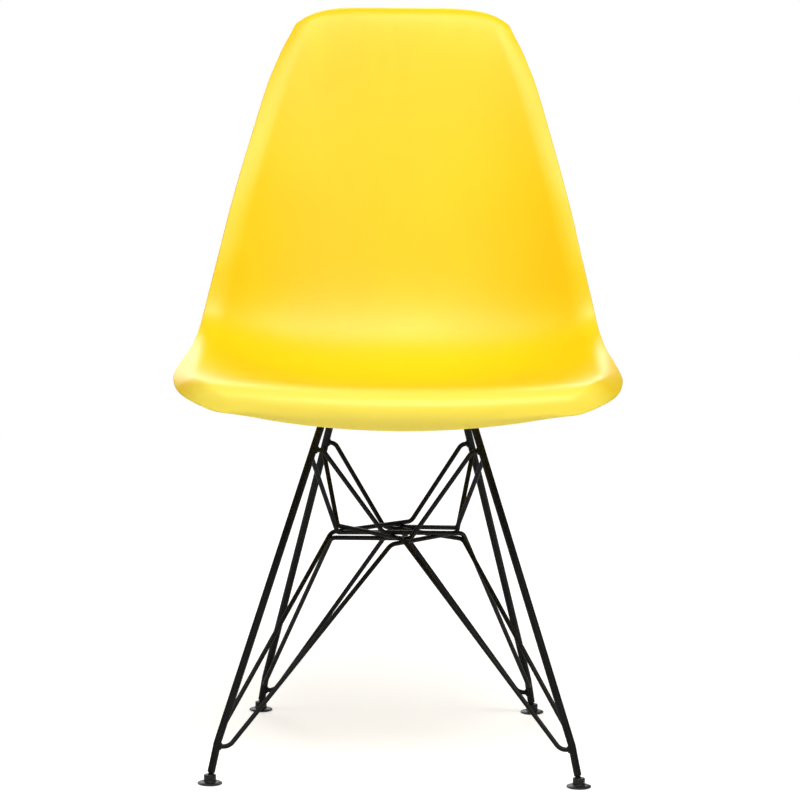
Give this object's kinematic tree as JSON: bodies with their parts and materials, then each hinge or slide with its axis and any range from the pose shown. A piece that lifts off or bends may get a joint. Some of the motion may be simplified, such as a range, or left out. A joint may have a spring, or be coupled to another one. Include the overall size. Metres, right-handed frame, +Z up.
{
  "type": "side chair",
  "caption": "Armless side chair: one-piece moulded plastic bucket shell screwed to a welded black steel rod base with crossing wire braces and tilting foot glides.",
  "frame": {"origin": "on the floor, at the middle of the box around the whole chair", "axes": "+Z up, the chair faces -Y, +X to the right in a front view"},
  "size_m": [0.4698, 0.5332, 0.788],
  "materials": {
    "shell": "satin",
    "base_steel": "satin black powder coat",
    "fixing_steel": "zinc plated",
    "insert_brass": "turned",
    "spacer_rubber": "matt",
    "glide_plastic": "moulded",
    "pad_rubber": "matt"
  },
  "bodies": {
    "base": {"seat_shell": "shell", "side_frame_left": "base_steel", "side_frame_right": "base_steel", "mount_strap_front": "base_steel", "mount_strap_rear": "base_steel", "brace_1": "base_steel", "brace_2": "base_steel", "brace_3": "base_steel", "brace_4": "base_steel", "brace_5": "base_steel", "brace_6": "base_steel", "brace_7": "base_steel", "brace_8": "base_steel", "spacer_front_left": "spacer_rubber", "insert_front_left": "insert_brass", "washer_front_left": "fixing_steel", "screw_front_left": "fixing_steel", "spacer_front_right": "spacer_rubber", "insert_front_right": "insert_brass", "washer_front_right": "fixing_steel", "screw_front_right": "fixing_steel", "spacer_rear_left": "spacer_rubber", "insert_rear_left": "insert_brass", "washer_rear_left": "fixing_steel", "screw_rear_left": "fixing_steel", "spacer_rear_right": "spacer_rubber", "insert_rear_right": "insert_brass", "washer_rear_right": "fixing_steel", "screw_rear_right": "fixing_steel"},
    "glide_front_left": {"glide_boot_front_left": "glide_plastic", "glide_pad_front_left": "pad_rubber"},
    "glide_front_right": {"glide_boot_front_right": "glide_plastic", "glide_pad_front_right": "pad_rubber"},
    "glide_rear_left": {"glide_boot_rear_left": "glide_plastic", "glide_pad_rear_left": "pad_rubber"},
    "glide_rear_right": {"glide_boot_rear_right": "glide_plastic", "glide_pad_rear_right": "pad_rubber"}
  },
  "joints": [
    {"name": "glide_front_left_tilt", "type": "hinge", "parent": "base", "child": "glide_front_left", "pos_m": [-0.192, -0.1845, 0.007], "axis": [-0.6599, 0.7513, 0], "range_deg": [-8, 8]},
    {"name": "glide_front_right_tilt", "type": "hinge", "parent": "base", "child": "glide_front_right", "pos_m": [0.192, -0.1845, 0.007], "axis": [-0.6599, -0.7513, 0], "range_deg": [-8, 8]},
    {"name": "glide_rear_left_tilt", "type": "hinge", "parent": "base", "child": "glide_rear_left", "pos_m": [-0.1528, 0.1845, 0.007], "axis": [0.7809, 0.6247, 0], "range_deg": [-8, 8]},
    {"name": "glide_rear_right_tilt", "type": "hinge", "parent": "base", "child": "glide_rear_right", "pos_m": [0.1528, 0.1845, 0.007], "axis": [0.7809, -0.6247, 0], "range_deg": [-8, 8]}
  ]
}
